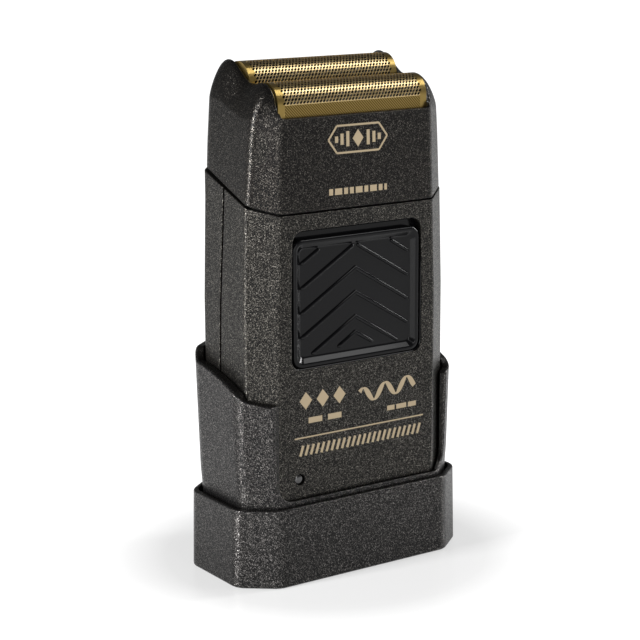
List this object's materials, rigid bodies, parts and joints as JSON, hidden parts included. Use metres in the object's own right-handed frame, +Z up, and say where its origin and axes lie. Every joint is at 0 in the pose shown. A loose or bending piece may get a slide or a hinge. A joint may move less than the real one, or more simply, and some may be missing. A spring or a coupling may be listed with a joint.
{
  "type": "foil shaver",
  "caption": "Foil shaver standing in a charging stand: lift-out body, pull-off foil head, sprung oscillating cutters and a thumb slide switch.",
  "frame": {"origin": "centre of the stand's footprint, on the surface it stands on", "axes": "+X to the right of someone facing the thumb slider, +Y towards the rear, +Z up along the shaver"},
  "size_m": [0.071, 0.0364, 0.1325],
  "materials": {
    "graphite": "dark graphite paint with a fine metallic fleck, soft sheen",
    "dark_plastic": "moulded black plastic, fine grain",
    "rubber": "matt black rubber",
    "steel": "bright steel",
    "brass": "bright brass",
    "circuit_board": "green board lacquer",
    "board_parts": "black component cases",
    "battery_wrap": "shrink wrap",
    "switch_metal": "pressed tin plate",
    "gloss_black": "polished black plastic",
    "white_plastic": "natural acetal",
    "magnet": "ferrite",
    "winding": "enamelled copper on a laminated core",
    "gold_foil": "gold-coated perforated sheet"
  },
  "bodies": {
    "stand": {"stand_base": "graphite", "stand_cradle": "graphite", "stand_bottom_plate": "dark_plastic", "stand_feet": "rubber", "stand_screws": "steel", "stand_contact_block": "dark_plastic", "stand_contact_pins": "brass", "stand_circuit_board": "circuit_board", "stand_dc_socket": "dark_plastic", "stand_socket_pin": "steel"},
    "shaver": {"front_shell": "graphite", "rear_shell": "graphite", "bottom_cap": "graphite", "charge_contacts": "brass", "chassis": "dark_plastic", "battery_cell": "battery_wrap", "battery_tabs": "steel", "circuit_board": "circuit_board", "board_parts": "board_parts", "switch_housing": "switch_metal", "led_lens": "gloss_black", "motor_can": "steel", "motor_end_cap": "white_plastic", "motor_terminals": "brass", "motor_magnets": "magnet", "drive_guide": "white_plastic", "head_deck": "dark_plastic", "deck_seal": "rubber", "cap_screws": "steel", "deck_screws": "steel"},
    "rotor": {"motor_shaft": "steel", "motor_armature": "winding", "eccentric_cam": "white_plastic"},
    "front_drive": {"front_drive_bridge": "white_plastic", "front_springs": "steel"},
    "rear_drive": {"rear_drive_bridge": "white_plastic", "rear_springs": "steel"},
    "front_cutter": {"front_cutter_block": "dark_plastic", "front_blades": "steel"},
    "rear_cutter": {"rear_cutter_block": "dark_plastic", "rear_blades": "steel"},
    "head": {"head_cover": "graphite", "foil_frame": "dark_plastic", "front_foil": "gold_foil", "rear_foil": "gold_foil"},
    "slider": {"thumb_slider": "gloss_black", "switch_knob": "white_plastic"}
  },
  "joints": [
    {"name": "shaver_lift", "type": "slide", "parent": "stand", "child": "shaver", "axis": [0, 0, 1], "range_m": [0, 0.05]},
    {"name": "head_lift", "type": "slide", "parent": "shaver", "child": "head", "axis": [0, 0, 1], "range_m": [0, 0.038]},
    {"name": "switch_slide", "type": "slide", "parent": "shaver", "child": "slider", "axis": [0, 0, 1], "range_m": [0, 0.002]},
    {"name": "motor_spin", "type": "hinge", "parent": "shaver", "child": "rotor", "pos_m": [0, 0.002, 0.07], "axis": [0, 0, 1], "continuous": true},
    {"name": "front_drive_slide", "type": "slide", "parent": "shaver", "child": "front_drive", "axis": [1, 0, 0], "range_m": [-0.0012, 0.0012]},
    {"name": "rear_drive_slide", "type": "slide", "parent": "shaver", "child": "rear_drive", "axis": [1, 0, 0], "range_m": [-0.0012, 0.0012]},
    {"name": "front_cutter_float", "type": "slide", "parent": "front_drive", "child": "front_cutter", "axis": [0, 0, 1], "range_m": [-0.0015, 0], "stiffness_N_per_m": 400, "springref_m": 0.001, "deforming": ["front_springs"]},
    {"name": "rear_cutter_float", "type": "slide", "parent": "rear_drive", "child": "rear_cutter", "axis": [0, 0, 1], "range_m": [-0.0015, 0], "stiffness_N_per_m": 400, "springref_m": 0.001, "deforming": ["rear_springs"]}
  ],
  "couplings": [
    {"joint": "rear_drive_slide", "follows": "front_drive_slide", "ratio": -1}
  ]
}
